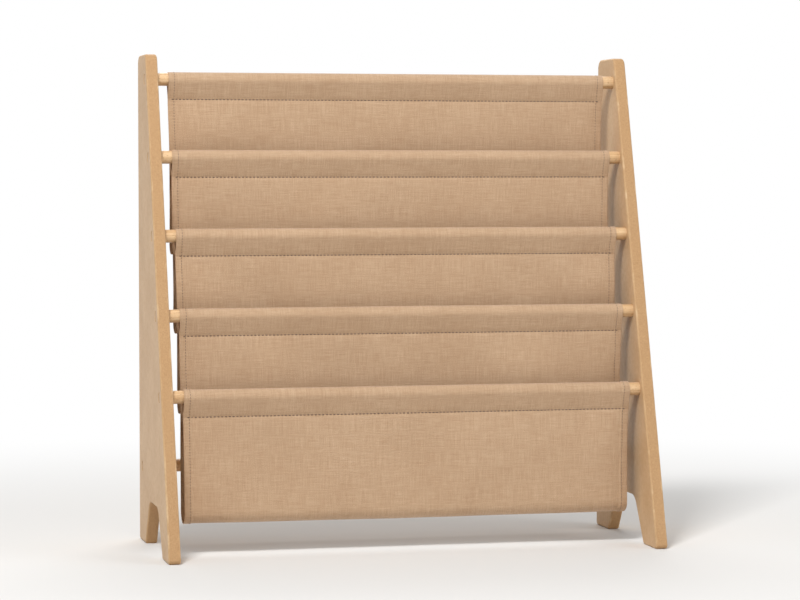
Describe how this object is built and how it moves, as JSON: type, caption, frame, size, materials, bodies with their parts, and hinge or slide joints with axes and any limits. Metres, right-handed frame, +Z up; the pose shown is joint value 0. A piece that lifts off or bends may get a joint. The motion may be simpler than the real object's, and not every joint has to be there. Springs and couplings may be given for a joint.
{
  "type": "sling bookshelf",
  "caption": "Low children's sling bookshelf: slanted side panels, dowels in a leaning row and one sewn fabric cover that hangs between them as stepped book pockets.",
  "frame": {"origin": "on the floor, at the centre of the shelf's footprint", "axes": "+X across the shelf's width, to the right as seen from the front; -Y to the front, where the books face; +Z up"},
  "size_m": [0.62, 0.25, 0.61],
  "materials": {
    "panel": "compressed wood with a clear satin lacquer",
    "dowel": "turned beech, fine sanded and oiled",
    "cloth": "plain-woven recycled polyester canvas, matt",
    "thread": "heavy twisted polyester thread",
    "steel": "zinc plated",
    "brass": "turned",
    "cap": "moulded, fine matt grain"
  },
  "bodies": {
    "root": {"side_panel_left": "panel", "side_panel_right": "panel", "top_dowel": "dowel", "pocket_1_dowel": "dowel", "pocket_2_dowel": "dowel", "pocket_3_dowel": "dowel", "pocket_4_dowel": "dowel", "rear_dowel": "dowel", "top_insert_left": "brass", "top_insert_right": "brass", "pocket_1_insert_left": "brass", "pocket_1_insert_right": "brass", "pocket_2_insert_left": "brass", "pocket_2_insert_right": "brass", "pocket_3_insert_left": "brass", "pocket_3_insert_right": "brass", "pocket_4_insert_left": "brass", "pocket_4_insert_right": "brass", "rear_insert_left": "brass", "rear_insert_right": "brass", "top_bolt_left": "steel", "top_bolt_right": "steel", "pocket_1_bolt_left": "steel", "pocket_1_bolt_right": "steel", "pocket_2_bolt_left": "steel", "pocket_2_bolt_right": "steel", "pocket_3_bolt_left": "steel", "pocket_3_bolt_right": "steel", "pocket_4_bolt_left": "steel", "pocket_4_bolt_right": "steel", "rear_bolt_left": "steel", "rear_bolt_right": "steel", "top_bolt_cap_left": "cap", "top_bolt_cap_right": "cap", "pocket_1_bolt_cap_left": "cap", "pocket_1_bolt_cap_right": "cap", "pocket_2_bolt_cap_left": "cap", "pocket_2_bolt_cap_right": "cap", "pocket_3_bolt_cap_left": "cap", "pocket_3_bolt_cap_right": "cap", "pocket_4_bolt_cap_left": "cap", "pocket_4_bolt_cap_right": "cap", "rear_bolt_cap_left": "cap", "rear_bolt_cap_right": "cap", "top_sleeve": "cloth", "pocket_1_sleeve": "cloth", "pocket_2_sleeve": "cloth", "pocket_3_sleeve": "cloth", "pocket_4_sleeve": "cloth", "top_seam_thread": "thread", "pocket_1_seam_thread": "thread", "pocket_2_seam_thread": "thread", "pocket_3_seam_thread": "thread", "pocket_4_seam_thread": "thread", "pocket_1_sling": "cloth", "pocket_2_sling": "cloth", "pocket_3_sling": "cloth", "pocket_4_sling": "cloth"}
  },
  "joints": []
}
